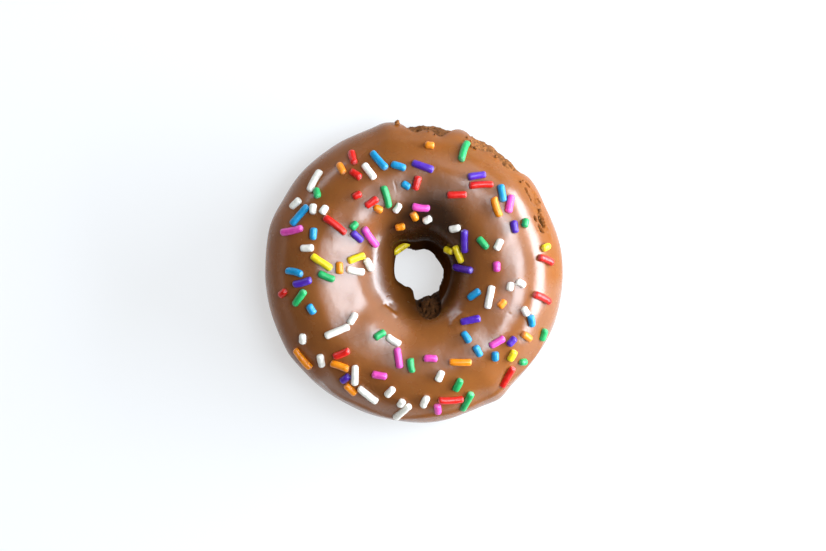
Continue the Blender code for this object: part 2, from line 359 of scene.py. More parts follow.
class DoughnutIcing(bpy.types.PropertyGroup):
    chocolate: colour_setting("Chocolate", "Colour of the milk-chocolate icing", (0.274, 0.085, 0.016))
    roughness: share_setting("Roughness", "Softness of the icing's shine", 0.24)
    ripple: number_setting("Ripple", "Height of the slow waves in the icing", RIPPLE_DEPTH, unit="LENGTH")


class DoughnutStrands(bpy.types.PropertyGroup):
    white: colour_setting("White", "Colour of the white strands", (1.0, 0.930, 0.810))
    green: colour_setting("Green", "Colour of the green strands", (0.022, 0.430, 0.120))
    red: colour_setting("Red", "Colour of the red strands", (0.760, 0.014, 0.008))
    orange: colour_setting("Orange", "Colour of the orange strands", (0.980, 0.290, 0.006))
    blue: colour_setting("Blue", "Colour of the blue strands", (0.012, 0.300, 0.580))
    purple: colour_setting("Purple", "Colour of the purple strands", (0.095, 0.022, 0.440))
    pink: colour_setting("Pink", "Colour of the pink strands", (0.850, 0.078, 0.460))
    yellow: colour_setting("Yellow", "Colour of the yellow strands", (0.950, 0.700, 0.012))
    roughness: share_setting("Roughness", "Softness of the sugar's shine", 0.30)


class DoughnutStage(bpy.types.PropertyGroup):
    camera_height: number_setting(
        "Camera height", "How far the camera is above the floor", 0.90, least=0.2, unit="LENGTH"
    )
    field: number_setting(
        "Field", "Width of the picture at the ring's widest height", 0.2273, least=0.1, unit="LENGTH"
    )
    window: number_setting("Window", "Power of the wide, low window on the right", 33.0, unit="POWER")
    skylight: number_setting("Skylight", "Power of the soft light high on the right", 8.0, unit="POWER")
    surround: number_setting("Surround", "Brightness of the white room", 0.10)
    floor_glow: number_setting("Floor glow", "How brightly the floor glows by itself", 0.60)


@functools.lru_cache(maxsize=None)
def swell(bearing, bumps):
    """The sum of the soft bumps, each a bearing, a half width and a height, at this bearing."""
    total = 0.0
    for centre, half_width, height in bumps:
        away = (bearing - centre + 180.0) % 360.0 - 180.0
        total += height * math.exp(-((away / half_width) ** 2))
    return total


def signed_power(value, exponent):
    return math.copysign(abs(value) ** exponent, value)


def skin_point(bearing, tube):
    """The cake's smooth skin, with its swells and lumps."""
    across, up = math.cos(math.radians(tube)), math.sin(math.radians(tube))
    crest = CORE_HEIGHT + CREST_RISE + swell(bearing, CREST_SWELLS)
    if across > 0:
        level, roundness = CORE_HEIGHT, OUTER_ROUNDNESS
    else:
        level = HOLE_HEIGHT + swell(bearing, HEIGHT_SWELLS)
        roundness = FUNNEL_ROUNDNESS + swell(bearing, ROUNDNESS_SWELLS)
    exponent = 2.0 / (roundness if up > 0 else BASE_ROUNDNESS)
    rise = crest - level if up > 0 else level + BASE_CUT
    height = level + rise * signed_power(up, exponent)
    if across > 0:
        reach = OUTER_REACH + swell(bearing, OUTLINE_SWELLS)
    else:
        reach = HOLE_REACH + swell(bearing, HOLE_SWELLS)
        flare = HOLE_FLARE + swell(bearing, FLARE_SWELLS)
        reach -= flare * max(0.0, height - level) / (crest - level)
    radius = CORE_RADIUS + reach * signed_power(across, exponent)
    turn = math.radians(bearing)
    outward = Vector((math.sin(turn), math.cos(turn), 0.0))
    lump = LUMP_DEPTH * noise.noise((outward * radius + Vector((0, 0, height))) / LUMP_SPACING)
    point = outward * (radius + lump * across) + HOLE_SHIFT * (1.0 - across) / 2.0
    point.z = max(0.0, height + lump * up)
    return point


def skin_frame(bearing, tube):
    """Unit vectors along the ring, up the tube from its outside, and straight out of the skin."""
    step = 0.5
    along = (skin_point(bearing + step, tube) - skin_point(bearing - step, tube)).normalized()
    up_tube = (skin_point(bearing, tube + step) - skin_point(bearing, tube - step)).normalized()
    return along, up_tube, up_tube.cross(along).normalized()


def rim_angle(bearing):
    return RIM_ANGLE + swell(bearing, RIM_RUNS)


def throat_angle(bearing):
    return THROAT_ANGLE + swell(bearing, THROAT_RUNS)


def across_icing(bearing, share):
    """The tube angle at a share of the way from the icing's rim to its throat. The runs die out inwards."""
    tube = RIM_ANGLE + (THROAT_ANGLE - RIM_ANGLE) * share
    tube += (rim_angle(bearing) - RIM_ANGLE) * (1.0 - share) ** RUN_FADE
    return tube + (throat_angle(bearing) - THROAT_ANGLE) * share**RUN_FADE


def icing_depth(bearing, tube):
    """Depth of the icing where it is whole: thickest on the crest, with its drips at the two rims."""
    flank = math.cos(math.radians(tube))
    drips = swell(bearing, DRIPS) if flank > 0 else swell(bearing, THROAT_DRIPS)
    return ICING_DEPTH + (FLANK_DEPTH - ICING_DEPTH + drips) * flank**2


def icing_point(bearing, tube):
    """The icing's upper face, away from its edges."""
    lift = ICING_GAP + icing_depth(bearing, tube)
    return skin_point(bearing, tube) + skin_frame(bearing, tube)[2] * lift


def bare_degrees(bearing, tube):
    """How far into the bare skin a place is, in degrees of tube from the icing's edge at or beside it."""
    below = tube if tube > 90.0 else tube + 360.0
    beside = (bearing - EDGE_WATCH, bearing, bearing + EDGE_WATCH)
    rim = min(rim_angle(b) for b in beside) + 360.0
    return min(rim - below, below - max(throat_angle(b) for b in beside))


def smooth_step(low, high, value):
    share = min(1.0, max(0.0, (value - low) / (high - low)))
    return share * share * (3.0 - 2.0 * share)


def plateau(value, start, full, fading, end):
    """Rises from 0 to 1 between the first two places, and falls back to 0 between the last two."""
    return smooth_step(start, full, value) * (1.0 - smooth_step(fading, end, value))


def deselect_all():
    for obj in bpy.context.view_layer.objects:
        obj.select_set(False)
    bpy.context.view_layer.objects.active = None


def torus_angles(point):
    """The bearing and the tube angle of a vertex of the plain torus."""
    bearing = math.degrees(math.atan2(point.x, point.y))
    tube = math.degrees(math.atan2(point.z, math.hypot(point.x, point.y) - CORE_RADIUS))
    return round(bearing, 3), round(tube % 360.0, 3)


def new_ring(name, steps):
    """A plain torus about the core line, cut once more round the ring than its primitive can be."""
    deselect_all()
    bpy.ops.mesh.primitive_torus_add(
        major_radius=CORE_RADIUS,
        minor_radius=OUTER_REACH,
        major_segments=steps[0],
        minor_segments=steps[1],
        location=(0.0, 0.0, 0.0),
    )
    ring = bpy.context.active_object
    ring.name = name
    ring.data.name = name
    bpy.ops.object.mode_set(mode="EDIT")
    bpy.ops.mesh.select_mode(type="EDGE")
    bpy.ops.mesh.select_all(action="DESELECT")
    shape = bmesh.from_edit_mesh(ring.data)
    for edge in shape.edges:
        start, end = (torus_angles(vertex.co) for vertex in edge.verts)
        edge.select = start[0] != end[0]
    bmesh.update_edit_mesh(ring.data)
    bpy.ops.mesh.subdivide(number_cuts=1)
    bpy.ops.object.mode_set(mode="OBJECT")
    return ring


def store(mesh, name, values):
    """Keeps one number for each vertex, for the material to read."""
    attribute = mesh.attributes.new(name, "FLOAT", "POINT")
    attribute.data.foreach_set("value", values)


def finish_piece(piece, material, node):
    """Gives a piece its material and its place in the frame."""
    piece.data.materials.clear()
    piece.data.materials.append(material)
    piece.data.shade_smooth()
    piece.data.update()
    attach(piece, "root")
    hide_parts(node)


def new_material(name):
    material = bpy.data.materials.new(name)
    material.use_nodes = True
    return material, material.node_tree.nodes["Principled BSDF"]


def add_node(material, kind, **values):
    """A node whose inputs are set by name, to a value or from another node's output."""
    node = material.node_tree.nodes.new(kind)
    for name, value in values.items():
        set_input(material, node, name.replace("_", " ").title(), value)
    return node


def set_input(material, node, name, value):
    if isinstance(value, bpy.types.NodeSocket):
        material.node_tree.links.new(value, node.inputs[name])
    else:
        node.inputs[name].default_value = value


def object_coordinates(material):
    return add_node(material, "ShaderNodeTexCoord").outputs["Object"]


def noise_field(material, size, detail=2.0, roughness=0.5):
    """Soft noise whose lumps are about this size."""
    field = add_node(
        material,
        "ShaderNodeTexNoise",
        vector=object_coordinates(material),
        scale=1.0 / size,
        detail=detail,
        roughness=roughness,
    )
    return field.outputs["Fac"]


def ramp(material, source, stops):
    """A colour ramp from the source, with its stops as places and colours."""
    node = add_node(material, "ShaderNodeValToRGB", fac=source)
    elements = node.color_ramp.elements
    while len(elements) < len(stops):
        elements.new(0.5)
    for element, (place, colour) in zip(elements, stops):
        element.position = place
        element.color = (*colour, 1.0)
    return node.outputs["Color"]


def stretch(material, source, low, high, low_value=0.0, high_value=1.0):
    """Turns a stretch of the source into a stretch of values."""
    node = material.node_tree.nodes.new("ShaderNodeMapRange")
    node.interpolation_type = "SMOOTHSTEP"
    set_input(material, node, "Value", source)
    set_input(material, node, "From Min", low)
    set_input(material, node, "From Max", high)
    set_input(material, node, "To Min", low_value)
    set_input(material, node, "To Max", high_value)
    return node.outputs["Result"]


def blend(material, share, first, second):
    """Mixes two colours by a share."""
    node = material.node_tree.nodes.new("ShaderNodeMix")
    node.data_type = "RGBA"
    sockets = {s.identifier: s for s in node.inputs}
    for name, value in (("Factor_Float", share), ("A_Color", first), ("B_Color", second)):
        if isinstance(value, bpy.types.NodeSocket):
            material.node_tree.links.new(value, sockets[name])
        elif name == "Factor_Float":
            sockets[name].default_value = value
        else:
            sockets[name].default_value = (*value, 1.0)
    return next(s for s in node.outputs if s.identifier == "Result_Color")


def attribute(material, name):
    node = material.node_tree.nodes.new("ShaderNodeAttribute")
    node.attribute_name = name
    return node.outputs["Fac"]


def bump(material, height, strength, distance):
    node = add_node(material, "ShaderNodeBump", height=height, strength=strength, distance=distance)
    return node.outputs["Normal"]


def tone(colour, factor):
    return tuple(min(1.0, c * factor) for c in colour)


def crumb_colour(material, crumb):
    """The open crumb: dry brown with darker grains, and dark in its pores."""
    grain = noise_field(material, 0.0007, detail=3.0, roughness=0.65)
    body = ramp(
        material,
        grain,
        (
            (0.30, tone(crumb, 0.28)),
            (0.46, tone(crumb, 0.80)),
            (0.58, tone(crumb, 1.15)),
            (0.72, (crumb[0] * 1.9, crumb[1] * 1.9, crumb[2] * 1.7)),
        ),
    )
    patch = stretch(material, noise_field(material, 0.009), 0.35, 0.68)
    return blend(material, patch, body, blend(material, 0.55, body, tone(crumb, 0.42)))


def cake_material(settings):
    material, shader = new_material("chocolate_crumb")
    crumb = tuple(settings.crumb)
    body = crumb_colour(material, crumb)
    # Painted shade in the pores and down the hole
    body = blend(material, attribute(material, "hollow"), body, tone(crumb, 0.10))
    body = blend(material, attribute(material, "baked"), body, tone(crumb, 0.50))
    set_input(material, shader, "Base Color", body)
    set_input(material, shader, "Roughness", 0.90)
    set_input(material, shader, "Specular IOR Level", 0.15)
    grain = noise_field(material, 0.0005, detail=4.0, roughness=0.7)
    set_input(material, shader, "Normal", bump(material, grain, 0.55, 0.0004))
    return material


def icing_material(settings, crumb):
    """Glossy milk chocolate, flecked; darker with painted shade and duller in the hole, with a painted
    highlight along pulled-up edges, and open to the crumb in its tears, with painted shade deep in them.
    """
    material, shader = new_material("milk_chocolate_icing")
    chocolate = tuple(settings.chocolate)
    cloud = noise_field(material, 0.014, detail=3.0)
    body = ramp(
        material,
        cloud,
        ((0.32, tone(chocolate, 0.90)), (0.52, chocolate), (0.70, tone(chocolate, 1.10))),
    )
    fleck = stretch(material, noise_field(material, 0.0007, detail=1.0), 0.66, 0.74, 0.0, 0.35)
    body = blend(material, fleck, body, tone(chocolate, 0.62))
    glint = stretch(material, noise_field(material, 0.00055, detail=0.0), 0.70, 0.78, 0.0, 0.20)
    body = blend(material, glint, body, tone(chocolate, 1.6))
    body = blend(material, attribute(material, "thin"), body, tone(chocolate, 0.60))
    # Painted shade: the icing darkens down the hole's wall, sooner at the back of the ring
    body = blend(material, attribute(material, "deep"), body, tone(chocolate, 0.10))
    torn = attribute(material, "torn")
    # Painted highlight: a pale line along the edge where the icing is pulled up from the cake
    body = blend(material, attribute(material, "brim"), body, tone(chocolate, 1.9))
    body = blend(material, torn, body, crumb_colour(material, crumb))
    # Painted shade deep in the tears
    body = blend(material, stretch(material, torn, 0.45, 1.0, 0.0, 0.90), body, tone(crumb, 0.08))
    set_input(material, shader, "Base Color", body)
    set_input(material, shader, "IOR", stretch(material, attribute(material, "dull"), 0.0, 1.0, 1.65, 1.0))
    shine = stretch(
        material,
        noise_field(material, 0.006, detail=3.0),
        0.30,
        0.70,
        settings.roughness - 0.03,
        settings.roughness + 0.05,
    )
    dull = add_node(material, "ShaderNodeMath")
    dull.operation = "MAXIMUM"
    material.node_tree.links.new(shine, dull.inputs[0])
    material.node_tree.links.new(stretch(material, torn, 0.1, 0.7, 0.0, 0.8), dull.inputs[1])
    set_input(material, shader, "Roughness", dull.outputs[0])
    set_input(material, shader, "Subsurface Weight", 0.12)
    set_input(material, shader, "Subsurface Radius", (1.0, 0.45, 0.2))
    set_input(material, shader, "Subsurface Scale", 0.0015)
    orange_peel = noise_field(material, 0.0012, detail=2.0)
    set_input(material, shader, "Normal", bump(material, orange_peel, 0.10, 0.0003))
    return material


def strand_material(name, colour, roughness):
    """Coated sugar: mottled a little, paler where it is dusty at the ends, each strand in its own shade."""
    material, shader = new_material(f"sugar_{name}")
    mottle = noise_field(material, 0.0012, detail=2.0)
    body = ramp(
        material,
        mottle,
        ((0.30, tone(colour, 0.80)), (0.52, colour), (0.72, tuple(c * 0.94 + 0.03 for c in colour))),
    )
    body = blend(material, attribute(material, "dusty"), body, tuple(c * 0.6 + 0.36 for c in colour))
    body = blend(material, attribute(material, "shade"), body, tone(colour, 0.62))
    set_input(material, shader, "Base Color", body)
    set_input(material, shader, "Roughness", roughness)
    set_input(material, shader, "Subsurface Weight", 0.15)
    set_input(material, shader, "Subsurface Radius", (1.0, 1.0, 1.0))
    set_input(material, shader, "Subsurface Scale", 0.0006)
    grain = noise_field(material, 0.0006, detail=2.0)
    set_input(material, shader, "Normal", bump(material, grain, 0.25, 0.0002))
    return material


def pore(point, spacing):
    """How hollow the crumb is at a point, from 0 to 1: pores of many sizes, each in its own cell."""
    distances, centres = noise.voronoi(point / spacing)
    size = PORE_SIZES[0] + PORE_SIZES[1] * abs(noise.cell(centres[0] * 5.17))
    return max(0.0, 1.0 - (distances[0] / size) ** 2)


class DOUGHNUT_OT_cake(bpy.types.Operator):
    """Bakes the ring: a torus drawn to the cake's section, with crags, crumb and pores where it is bare"""

    bl_idname = "doughnut.cake"
    bl_label = "Cake ring"
    bl_options = {"REGISTER", "UNDO"}

    def execute(self, context):
        settings = context.scene.doughnut_cake
        cake = new_ring("cake", CAKE_STEPS)
        pore_and_hole_shades, baked = [], []
        for vertex in cake.data.vertices:
            bearing, tube = torus_angles(vertex.co)
            point = skin_point(bearing, tube)
            bare = min(1.0, max(0.0, bare_degrees(bearing, tube) / CRAG_FADE))
            hollow, relief = 0.0, 0.0
            if bare > 0.0:
                hollow = pore(point, PORE_SPACING) * min(1.0, 3.0 * bare)
                relief = -settings.pore_depth * hollow
                if point.z > CRAG_LOWEST:
                    relief += CRAG_DEPTH * bare * noise.noise(point / CRAG_SPACING)
                    fine = noise.fractal(point / CRUMB_SPACING, 0.9, 2.0, 3)
                    relief += settings.crumb_depth * min(1.0, 3.0 * bare) * fine
            vertex.co = point + skin_frame(bearing, tube)[2] * relief
            vertex.co.z = max(0.0, vertex.co.z)
            # Painted shade on the crumb down the hole, and in the pores
            hole_shade = HOLE_SHADE_STRENGTH * plateau(tube, *HOLE_SHADE_TUBES)
            pore_and_hole_shades.append(max(hole_shade, smooth_step(0.15, 0.9, hollow)))
            baked.append(1.0 - smooth_step(*BAKED_HEIGHTS, point.z))
        store(cake.data, "hollow", pore_and_hole_shades)
        store(cake.data, "baked", baked)
        finish_piece(cake, cake_material(settings), "cake_ring")
        return {"FINISHED"}


def fold_height(bearing, tube):
    """Height of the icing's folds: each a soft step with a rolled edge."""
    total = 0.0
    for first, last, middle, half_width, wander, height, roll in FOLDS:
        share = plateau(bearing % 360.0, first, first + FOLD_TAPER, last - FOLD_TAPER, last)
        if share > 0.0:
            wave = math.sin(math.radians(bearing * 5.0)) + 0.6 * math.sin(math.radians(bearing * 11.0))
            away = (tube - middle - wander * wave) / half_width
            step = 0.5 * math.tanh(away * 1.6) * math.exp(-((away / 5.0) ** 2))
            total += share * height * (step + roll * math.exp(-((away - 0.9) ** 2)))
    return total


def shoulder_height(bearing, tube):
    """Height of the crisp shoulder on the left of the hole and of the bulge below it."""
    share = plateau(bearing % 360.0, *SHOULDER_BEARINGS)
    if share == 0.0:
        return 0.0
    start, edge, fullest, end = SHOULDER_TUBES
    outer, inner = DISH_TUBES
    height = 0.0
    if outer < tube < inner:
        height = -DISH_DEPTH * math.sin(math.pi * (tube - outer) / (inner - outer)) ** 2
    if start < tube < edge:
        height += SHOULDER_RISE * ((tube - start) / (edge - start)) ** 2
    elif edge <= tube < fullest:
        height += SHOULDER_RISE + SHOULDER_BULGE * ((tube - edge) / (fullest - edge)) ** 1.6
    elif fullest <= tube < end:
        height += (SHOULDER_RISE + SHOULDER_BULGE) * (1.0 - smooth_step(fullest, end, tube))
    return share * height


def distance_from(bearing, tube, point, middle_bearing, middle_tube, half_length, half_width):
    """How far a point of the icing is from the middle of a patch, 1 at the patch's edge."""
    turn = (bearing - middle_bearing + 180.0) % 360.0 - 180.0
    along = math.radians(turn) * math.hypot(point.x, point.y)
    across = math.radians(tube - middle_tube) * TUBE_RADIUS
    return math.hypot(along / half_length, across / half_width)


def tear(bearing, tube, point):
    """How far the icing is torn open at a place, from 0 to 1."""
    most = 0.0
    for place in TEARS:
        away = distance_from(bearing, tube, point, *place)
        if away < 2.0:
            ragged = away + TEAR_RAGGEDNESS * noise.fractal(point / TEAR_GRAIN, 0.8, 2.0, 3)
            most = max(most, 1.0 - smooth_step(*TEAR_EDGE, ragged))
    return most


def dent(bearing, tube, point):
    """How deep the icing is dented at a place."""
    depth = 0.0
    for *place, deepest in DENTS:
        away = distance_from(bearing, tube, point, *place)
        if away < 2.5:
            ragged = away + DENT_RAGGEDNESS * noise.fractal(point / DENT_GRAIN, 0.8, 2.0, 2)
            depth += deepest * (1.0 - smooth_step(*DENT_EDGE, ragged))
    return depth


def pinholes():
    """Where small bubbles have burst in the icing."""
    draw = random.Random(PINHOLE_SEED)
    places = []
    for _ in range(PINHOLE_COUNT):
        bearing, tube = draw.uniform(0.0, 360.0), draw.uniform(*PINHOLE_TUBES)
        places.append((icing_point(bearing, tube), PINHOLE_RADIUS * draw.uniform(0.6, 1.3)))
    return places


def across_section(bearing, turn):
    """Whether a place on the plain torus goes to the icing's face, its share across and its tube angle."""
    on_face = turn <= FACE_TURN
    share = turn / FACE_TURN if on_face else (360.0 - turn) / (360.0 - FACE_TURN)
    eased = (1.0 - math.cos(math.pi * share)) / 2.0
    share = (1.0 - FACE_EASE) * share + FACE_EASE * eased
    return on_face, share, across_icing(bearing, share)


def cut_finer(ring):
    """Subdivides the stretches of the icing's face that hold its tears and its pulled-up edge."""
    deselect_all()
    ring.select_set(True)
    bpy.context.view_layer.objects.active = ring
    bpy.ops.object.mode_set(mode="EDIT")
    bpy.ops.mesh.select_all(action="DESELECT")
    bpy.ops.mesh.select_mode(type="FACE")
    shape = bmesh.from_edit_mesh(ring.data)
    for face in shape.faces:
        bearing, turn = torus_angles(face.calc_center_median())
        on_face, _, tube = across_section(bearing, turn)
        if on_face:
            face.select = any(
                first <= bearing <= last and low <= tube <= high
                for first, last, low, high in FINE_STRETCHES
            )
    bmesh.update_edit_mesh(ring.data)
    bpy.ops.mesh.subdivide(number_cuts=FINE_CUTS)
    bpy.ops.object.mode_set(mode="OBJECT")


def flank_dullness(bearing, tube):
    """How dull the icing is low on its flank, from 0 to 1."""
    glossy = plateau(bearing % 360.0, *FLANK_GLOSSY)
    high, low = FLANK_DULL
    return FLANK_DULLNESS * (1.0 - glossy) * (1.0 - smooth_step(low, high, tube))


def face_lift(bearing, tube, share, skin, normal, ripple, holes):
    """How far the icing's upper face is above its underside, and how far it is torn open there."""
    depth = icing_depth(bearing, tube)
    point = skin + normal * (ICING_GAP + depth)
    depth += fold_height(bearing, tube) + shoulder_height(bearing, tube)
    depth -= dent(bearing, tube, point)
    depth += ripple * noise.fractal(point / RIPPLE_SPACING, 1.0, 2.0, 2)
    from_edge = min(share, 1.0 - share)
    depth += BEAD_HEIGHT * math.exp(-(((from_edge - BEAD_PLACE) / BEAD_WIDTH) ** 2))
    opened = tear(bearing, tube, point)
    if opened > 0.0:
        rough = TEAR_FLOOR_HEIGHT * noise.fractal(point / TEAR_FLOOR_GRAIN, 0.8, 2.0, 3)
        depth -= opened * (TEAR_DEPTH - rough)
    for place, radius in holes:
        away = (point - place).length / radius
        if away < 1.6:
            depth -= radius * 0.8 * math.exp(-((away * 1.3) ** 4))
    lip = math.sqrt(max(0.0, 1.0 - abs(2.0 * share - 1.0) ** LIP_SHARPNESS))
    return max(THINNEST, depth) * lip, opened


def icing_looks(bearing, tube, share, opened):
    """What the icing's material reads at a place: how torn and thin it is, its painted highlight along a
    pulled-up edge, its painted shade down the hole, and how dull it is.
    """
    pulled_up = smooth_step(*PULLED_UP, rim_angle(bearing))
    from_edge = min(share + THIN_EDGE * pulled_up, 1.0 - share)
    back = swell(bearing, FUNNEL_SHADE_SIDE)
    darkest = FUNNEL_SHADE_LEAST + (1.0 - FUNNEL_SHADE_LEAST) * back / FUNNEL_SHADE_SIDE[0][2]
    return {
        "torn": opened,
        "thin": THINNESS * (1.0 - smooth_step(0.0, THIN_EDGE, from_edge)),
        # painted highlight along a pulled-up edge
        "brim": EDGE_HIGHLIGHT_STRENGTH * pulled_up * (1.0 - smooth_step(*EDGE_HIGHLIGHT_FADE, share)),
        # painted shade down the hole
        "deep": darkest * smooth_step(FUNNEL_SHADE_START + back, FUNNEL_SHADE_START + FUNNEL_SHADE_SPAN + back, tube),
        "dull": max(smooth_step(*DULL, tube), flank_dullness(bearing, tube), opened),
    }


class DOUGHNUT_OT_icing(bpy.types.Operator):
    """Pours the icing: a torus drawn to a crescent over the ring, with drips, folds, tears and pinholes"""

    bl_idname = "doughnut.icing"
    bl_label = "Icing"
    bl_options = {"REGISTER", "UNDO"}

    def execute(self, context):
        settings = context.scene.doughnut_icing
        icing = new_ring("icing_skin", ICING_STEPS)
        cut_finer(icing)
        holes = pinholes()
        looks = []
        for vertex in icing.data.vertices:
            bearing, turn = torus_angles(vertex.co)
            on_face, share, tube = across_section(bearing, turn)
            skin, normal = skin_point(bearing, tube), skin_frame(bearing, tube)[2]
            lift, opened = 0.0, 0.0
            if on_face:
                lift, opened = face_lift(bearing, tube, share, skin, normal, settings.ripple, holes)
            vertex.co = skin + normal * (ICING_GAP + lift)
            looks.append(icing_looks(bearing, tube, share, opened))
        for name in looks[0]:
            store(icing.data, name, [look[name] for look in looks])
        crumb = tuple(context.scene.doughnut_cake.crumb)
        finish_piece(icing, icing_material(settings, crumb), "icing")
        return {"FINISHED"}


def beads(centre, direction, length):
    """Points along a strand, close enough together to stand for it when strands are kept apart."""
    straight = length - STRAND_WIDTH
    count = 2 + int(straight / (STRAND_WIDTH / 2.0))
    return [centre + direction * straight * (i / (count - 1) - 0.5) for i in range(count)]


def is_clear(candidate, placed):
    """Whether a strand, given by its beads, keeps off all those that lie already."""
    least = STRAND_WIDTH + STRAND_CLEARANCE
    return all((a - b).length > least for other in placed for a in candidate for b in other)


def scattered_strands():
    """Each strand's colour, centre, direction, outward normal and length, in the order in which they fell.

    A handful's strands lie on a sunflower spiral about its middle. Each is turned until it is clear of the
    others, and gets shorter as the tries run out.
    """
    draw = random.Random(STRAND_SEED)
    strands, placed = [], []
    for middle_bearing, middle_tube, colours in HANDFULS:
        twist = draw.uniform(0.0, 360.0)
        for place, colour in enumerate(colours.split()):
            wide = LONG_STRAND if draw.random() < LONG_SHARE else SHORT_STRAND
            length = draw.uniform(*wide)
            for attempt in range(MOST_TRIES):
                away = STRAND_SPACING * (math.sqrt(place) + attempt / STRAND_PATIENCE)
                away += draw.uniform(-1, 1) * STRAND_JITTER
                heading = math.radians(twist + GOLDEN_ANGLE * place + draw.uniform(-1, 1) * attempt)
                tube = middle_tube + math.degrees(away * math.sin(heading) / TUBE_RADIUS)
                if not STRAND_LIMITS[0] < tube < STRAND_LIMITS[1]:
                    tube = 2.0 * middle_tube - tube
                radius = CORE_RADIUS + TUBE_RADIUS * math.cos(math.radians(tube))
                bearing = middle_bearing + math.degrees(away * math.cos(heading) / radius)
                along, up_tube, normal = skin_frame(bearing, tube)
                turn = draw.uniform(0.0, math.pi)
                direction = along * math.cos(turn) + up_tube * math.sin(turn)
                centre = icing_point(bearing, tube) + normal * (STRAND_WIDTH / 2.0 - STRAND_SINK)
                length = max(SHORT_STRAND[0], length * SHRINK)
                candidate = beads(centre, direction, length)
                if is_clear(candidate, placed):
                    strands.append((colour, centre, direction, normal, length))
                    placed.append(candidate)
                    break
    return strands


def model_strand():
    """One straight strand: a cylinder whose ends are bevelled round, cut into rings so that it can bend."""
    deselect_all()
    bpy.ops.mesh.primitive_cylinder_add(
        vertices=STRAND_SIDES,
        radius=STRAND_WIDTH / 2.0,
        depth=MODEL_LENGTH,
        end_fill_type="NGON",
        location=(0.0, 0.0, 0.0),
    )
    strand = bpy.context.active_object
    bpy.ops.object.mode_set(mode="EDIT")
    bpy.ops.mesh.select_all(action="DESELECT")
    shape = bmesh.from_edit_mesh(strand.data)
    for edge in shape.edges:
        a, b = edge.verts
        edge.select = abs(a.co.z - b.co.z) < 1e-6
    bmesh.update_edit_mesh(strand.data)
    bpy.ops.mesh.bevel(offset=END_ROUND, segments=3, profile=0.5, affect="EDGES", clamp_overlap=False)
    half = MODEL_LENGTH / 2.0 - END_ROUND
    for cut in range(1, STRAND_CUTS):
        height = half * (2.0 * cut / STRAND_CUTS - 1.0)
        bpy.ops.mesh.select_all(action="SELECT")
        bpy.ops.mesh.bisect(plane_co=(0.0, 0.0, height), plane_no=(0.0, 0.0, 1.0), threshold=1e-6)
    bpy.ops.mesh.select_all(action="DESELECT")
    shape = bmesh.from_edit_mesh(strand.data)
    for face in shape.faces:
        face.select = len(face.verts) > 4
    bmesh.update_edit_mesh(strand.data)
    bpy.ops.mesh.inset(thickness=END_DOME[0], depth=END_DOME[1])
    bpy.ops.object.mode_set(mode="OBJECT")
    return strand


def lay_strand(model, index, centre, direction, normal, length):
    """Copies the model strand, draws it to its length, bends and lumps it, and lays it in the icing."""
    draw = random.Random(1000 + index)
    mesh = model.data.copy()
    strand = bpy.data.objects.new(f"strand_{index}", mesh)
    bpy.context.scene.collection.objects.link(strand)
    half = MODEL_LENGTH / 2.0 - END_ROUND
    new_half = length / 2.0 - END_ROUND
    sag = draw.uniform(0.3, 1.0) * STRAND_SAG * length
    sway = draw.choice((0.0, 0.0, 1.0, -1.0)) * draw.uniform(*STRAND_SWAY) * length
    lumps = draw.uniform(0.2, 1.0) * STRAND_LUMPS
    taper = draw.uniform(-STRAND_TAPER, STRAND_TAPER)
    side = normal.cross(direction)
    turned = Matrix((side, normal, direction)).transposed()
    dusty = []
    for vertex in mesh.vertices:
        place = vertex.co.copy()
        if abs(place.z) <= half:
            place.z *= new_half / half
        else:
            place.z = math.copysign(new_half + abs(place.z) - half, place.z)
        share = 2.0 * place.z / length
        width = 1.0 + taper * share
        bend = 1.0 - share * share
        lump = lumps * noise.noise(place / STRAND_LUMP_SPACING + Vector((index * 3.7, 0.0, 0.0)))
        radial = Vector((place.x, place.y, 0.0))
        if radial.length > 1e-7:
            radial = radial.normalized() * (radial.length * width + lump)
        placed = Vector((radial.x + sway * (bend - 0.5), radial.y + sag * (bend - 0.66), place.z))
        vertex.co = centre + turned @ placed
        dusty.append(smooth_step(0.93, 1.0, abs(share)) * draw.uniform(0.2, 0.5))
    store(mesh, "dusty", dusty)
    store(mesh, "shade", [draw.uniform(0.0, 0.35)] * len(dusty))
    return strand


def join_pieces(pieces, name):
    """Joins the pieces into one of this name."""
    deselect_all()
    for piece in pieces:
        piece.select_set(True)
    bpy.context.view_layer.objects.active = pieces[0]
    if len(pieces) > 1:
        bpy.ops.object.join()
    whole = bpy.context.view_layer.objects.active
    whole.name = name
    whole.data.name = name
    return whole


class DOUGHNUT_OT_strands(bpy.types.Operator):
    """Strews the sugar strands over the icing, one piece for each colour"""

    bl_idname = "doughnut.strands"
    bl_label = "Sugar strands"
    bl_options = {"REGISTER", "UNDO"}

    def execute(self, context):
        settings = context.scene.doughnut_strands
        model = model_strand()
        by_colour = {}
        for index, (colour, *place) in enumerate(scattered_strands()):
            by_colour.setdefault(colour, []).append(lay_strand(model, index, *place))
        bpy.data.objects.remove(model)
        for colour, strands in sorted(by_colour.items()):
            whole = join_pieces(strands, f"strands_{colour}")
            material = strand_material(colour, tuple(getattr(settings, colour)), settings.roughness)
            finish_piece(whole, material, "icing")
        return {"FINISHED"}


def crumb_places():
    """Where loose crumbs lie: by the torn and bare places, more of them small than large."""
    draw = random.Random(CRUMB_SEED)
    places = [RIM_CRUMB]
    for _ in range(CRUMB_COUNT):
        bearing, tube = draw.choice(CRUMB_SPOTS)
        size = CRUMB_SIZES[0] + CRUMB_SIZES[1] * draw.random() ** 2
        places.append((bearing + draw.uniform(-5, 5), tube + draw.uniform(-7, 5), size))
    return places


def lying_place(bearing, tube):
    """The surface under a loose crumb: the cake where it is bare, and else the icing, clear of its edge."""
    rim = rim_angle(bearing)
    if tube < rim - 2.0:
        return skin_point(bearing, tube)
    tube = max(tube, rim + EDGE_CLEARANCE)
    point = icing_point(bearing, tube)
    sunk = dent(bearing, tube, point) + tear(bearing, tube, point) * TEAR_DEPTH
    return point - skin_frame(bearing, tube)[2] * min(sunk, icing_depth(bearing, tube))


